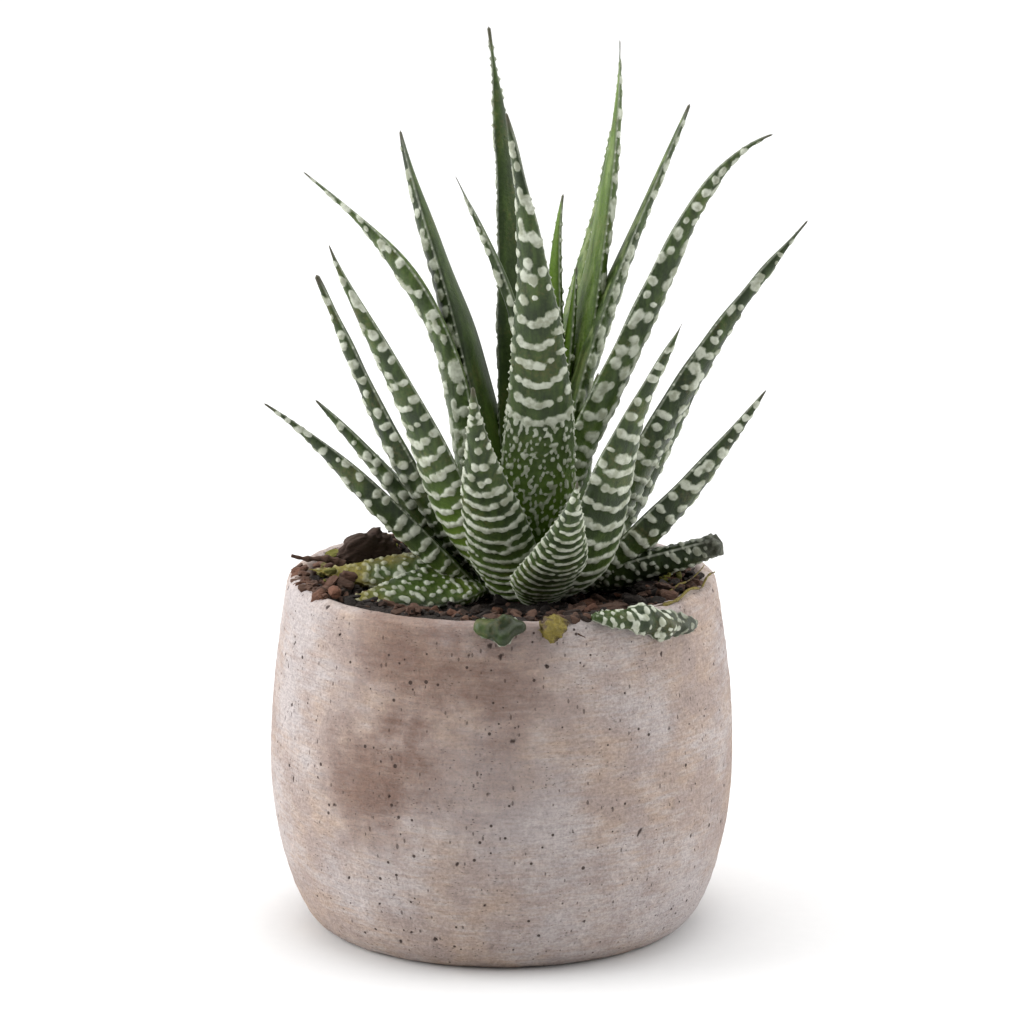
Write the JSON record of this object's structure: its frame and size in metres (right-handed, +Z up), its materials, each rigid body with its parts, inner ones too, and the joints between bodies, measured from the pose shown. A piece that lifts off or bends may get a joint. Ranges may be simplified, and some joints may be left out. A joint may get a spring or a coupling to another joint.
{
  "type": "potted haworthia",
  "caption": "Rosette of stiff, pointed, white-banded succulent leaves rooted in bark soil in a round-bellied unglazed clay pot with a flat foot.",
  "frame": {"origin": "centre of the flat foot that the pot rests on", "axes": "+Z up from the foot; -Y faces the side where the widest banded leaf and the two short front leaves stand; +X is to that viewer's right"},
  "size_m": [0.1256, 0.119, 0.2105],
  "materials": {
    "fired_clay": "unglazed, weathered, matt",
    "soil": "damp bark potting mix",
    "bark": "rough bark",
    "stem": "fibrous",
    "striped_leaf": "waxy dark green with raised white bands",
    "bright_leaf": "waxy mid green",
    "dried_leaf": "dried yellow leaf"
  },
  "bodies": {
    "root": {"pot": "fired_clay", "potting_soil": "soil", "stem_and_roots": "stem", "heart_leaf_right": "bright_leaf", "heart_leaf_left": "bright_leaf", "tall_leaf_back": "striped_leaf", "thin_leaf_left": "striped_leaf", "tall_leaf_right": "bright_leaf", "tall_leaf_right_inner": "bright_leaf", "upper_leaf_left": "striped_leaf", "upper_leaf_right": "striped_leaf", "upper_leaf_back": "striped_leaf", "arching_leaf_right": "striped_leaf", "arching_leaf_left": "striped_leaf", "back_leaf_right": "striped_leaf", "back_leaf_left": "striped_leaf", "striped_leaf_left": "striped_leaf", "slim_leaf_left": "striped_leaf", "long_leaf_right": "striped_leaf", "long_leaf_right_under": "striped_leaf", "back_leaf_middle": "striped_leaf", "great_striped_leaf": "striped_leaf", "broad_leaf_right": "striped_leaf", "short_leaf_left": "striped_leaf", "low_leaf_back_right": "striped_leaf", "low_leaf_back_left": "striped_leaf", "front_leaf_left": "striped_leaf", "front_leaf_right": "striped_leaf", "low_leaf_right": "striped_leaf", "low_leaf_left": "striped_leaf", "ground_leaf_back_right": "striped_leaf", "ground_leaf_back_left": "striped_leaf", "broken_leaf_right": "striped_leaf", "ground_leaf_right": "striped_leaf", "ground_leaf_left": "striped_leaf", "dry_tipped_leaf_left": "striped_leaf", "dry_tipped_leaf_front_left": "striped_leaf", "fallen_striped_leaf": "striped_leaf", "fallen_leaf_piece": "striped_leaf", "yellow_leaf_piece": "dried_leaf", "yellow_leaf_piece_right": "dried_leaf", "bark_chip_large": "bark", "bark_chip_left": "bark", "bark_chip_back": "bark", "bark_chip_back_left": "bark", "bark_chip_back_right": "bark", "bark_chip_right": "bark", "bark_chip_front": "bark"}
  },
  "joints": []
}
